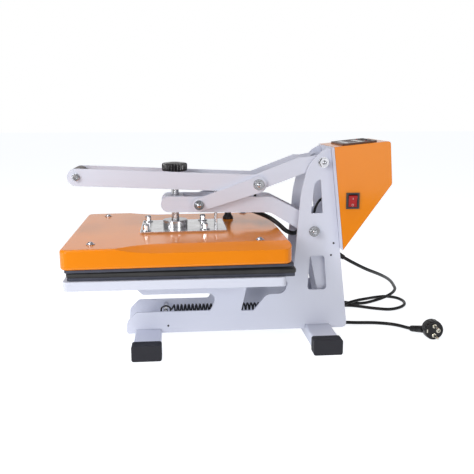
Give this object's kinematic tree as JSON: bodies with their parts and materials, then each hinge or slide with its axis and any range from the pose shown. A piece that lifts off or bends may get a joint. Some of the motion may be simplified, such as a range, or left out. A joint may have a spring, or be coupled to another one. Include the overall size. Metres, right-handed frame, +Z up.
{
  "type": "heat press",
  "caption": "Clamshell heat press: toggle handle and pivoting arm clamp a heated square platen onto a padded lower tray, with a control box behind the tower.",
  "frame": {"origin": "on the floor under the middle of the press (cord and plug left out)", "axes": "+X to the operator's right, +Y from the operator towards the tower and control box, +Z up"},
  "size_m": [0.405, 0.735, 0.3926],
  "materials": {
    "white": "textured powder coat, semi-gloss, faintly lavender white",
    "orange": "glossy powder coat",
    "rubber": "matte moulded rubber",
    "cord": "satin PVC",
    "grip": "dark brown foam rubber",
    "steel": "zinc or chrome plated",
    "spring": "black spring steel",
    "aluminium": "dark coated plate",
    "wool": "ceramic wool blanket",
    "plastic": "black moulded plastic",
    "circuit": "circuit board",
    "rocker": "glossy red plastic",
    "window": "dark display window"
  },
  "bodies": {
    "stand": {"side_plate_right": "white", "side_plate_left": "white", "front_foot_tube": "white", "rear_foot_tube": "white", "foot_cap_front_right": "rubber", "foot_cap_front_left": "rubber", "foot_cap_rear_right": "rubber", "foot_cap_rear_left": "rubber", "back_panel": "white", "tray_crossbar_front": "white", "tray_crossbar_rear": "white", "spring_anchor_pin": "steel", "lower_tray": "white", "pad_board": "aluminium", "silicone_pad": "rubber", "handle_pivot_bolt": "steel", "arm_pivot_bolt": "steel", "control_box": "orange", "control_board": "circuit", "relay": "plastic", "controller_bezel": "plastic", "display": "window", "switch_bezel": "plastic", "cord_gland": "cord", "power_cord": "cord", "plug": "cord", "counter_spring": "spring", "heater_lead": "cord"},
    "arm": {"arm_plate_right": "white", "arm_plate_left": "white", "arm_pivot_tube": "steel", "spring_pin": "steel", "spindle_block": "white", "guide_bar": "white", "link_bolt_right": "steel", "link_bolt_left": "steel"},
    "links": {"link_right": "white", "link_left": "white", "knee_bolt_right": "steel", "knee_bolt_left": "steel"},
    "handle": {"handle_bar_right": "white", "handle_bar_left": "white", "handle_pivot_tube": "steel", "knee_spacer": "steel", "grip_rod": "steel", "grip_sleeve": "grip"},
    "platen": {"platen_cover": "orange", "heat_plate": "aluminium", "insulation": "wool", "mount_plate": "steel", "spindle_hub": "steel", "lead_gland": "cord", "guide_rod": "steel"},
    "spindle": {"spindle": "steel", "knob": "plastic"},
    "rocker": {"rocker": "rocker"},
    "key_set": {"key_set": "rubber"},
    "key_up": {"key_up": "rubber"},
    "key_down": {"key_down": "rubber"}
  },
  "joints": [
    {"name": "arm_swing", "type": "hinge", "parent": "stand", "child": "arm", "pos_m": [0, 0.1611, 0.2172], "axis": [-1, 0, 0], "range_deg": [0, 45], "deforming": ["counter_spring", "heater_lead"]},
    {"name": "handle_swing", "type": "hinge", "parent": "stand", "child": "handle", "pos_m": [0, 0.1758, 0.3505], "axis": [-1, 0, 0], "range_deg": [0, 94.1], "deforming": ["counter_spring", "heater_lead"]},
    {"name": "link_swing", "type": "hinge", "parent": "arm", "child": "links", "pos_m": [0, -0.062, 0.2713], "axis": [1, 0, 0], "range_deg": [0, 58.7], "deforming": ["counter_spring", "heater_lead"]},
    {"name": "platen_slide", "type": "slide", "parent": "arm", "child": "platen", "axis": [0, 0, 1], "range_m": [0, 0.008], "deforming": ["heater_lead"]},
    {"name": "knob_turn", "type": "hinge", "parent": "platen", "child": "spindle", "pos_m": [0, -0.107, 0.28], "axis": [0, 0, 1], "range_deg": [0, 1440], "deforming": ["counter_spring", "heater_lead"]},
    {"name": "rocker_tip", "type": "hinge", "parent": "stand", "child": "rocker", "pos_m": [0.0605, 0.2298, 0.2788], "axis": [0, -1, 0], "range_deg": [0, 18.3]},
    {"name": "key_set_press", "type": "slide", "parent": "stand", "child": "key_set", "axis": [0, 0.0998, -0.995], "range_m": [0, 0.0008], "stiffness_N_per_m": 300, "springref_m": -0.0003},
    {"name": "key_up_press", "type": "slide", "parent": "stand", "child": "key_up", "axis": [0, 0.0998, -0.995], "range_m": [0, 0.0008], "stiffness_N_per_m": 300, "springref_m": -0.0003},
    {"name": "key_down_press", "type": "slide", "parent": "stand", "child": "key_down", "axis": [0, 0.0998, -0.995], "range_m": [0, 0.0008], "stiffness_N_per_m": 300, "springref_m": -0.0003}
  ],
  "couplings": [
    {"joint": "handle_swing", "follows": "arm_swing", "ratio": 2.0909},
    {"joint": "link_swing", "follows": "arm_swing", "ratio": 1.3032},
    {"joint": "knob_turn", "follows": "platen_slide", "rad_per_m": 3141.5}
  ]
}
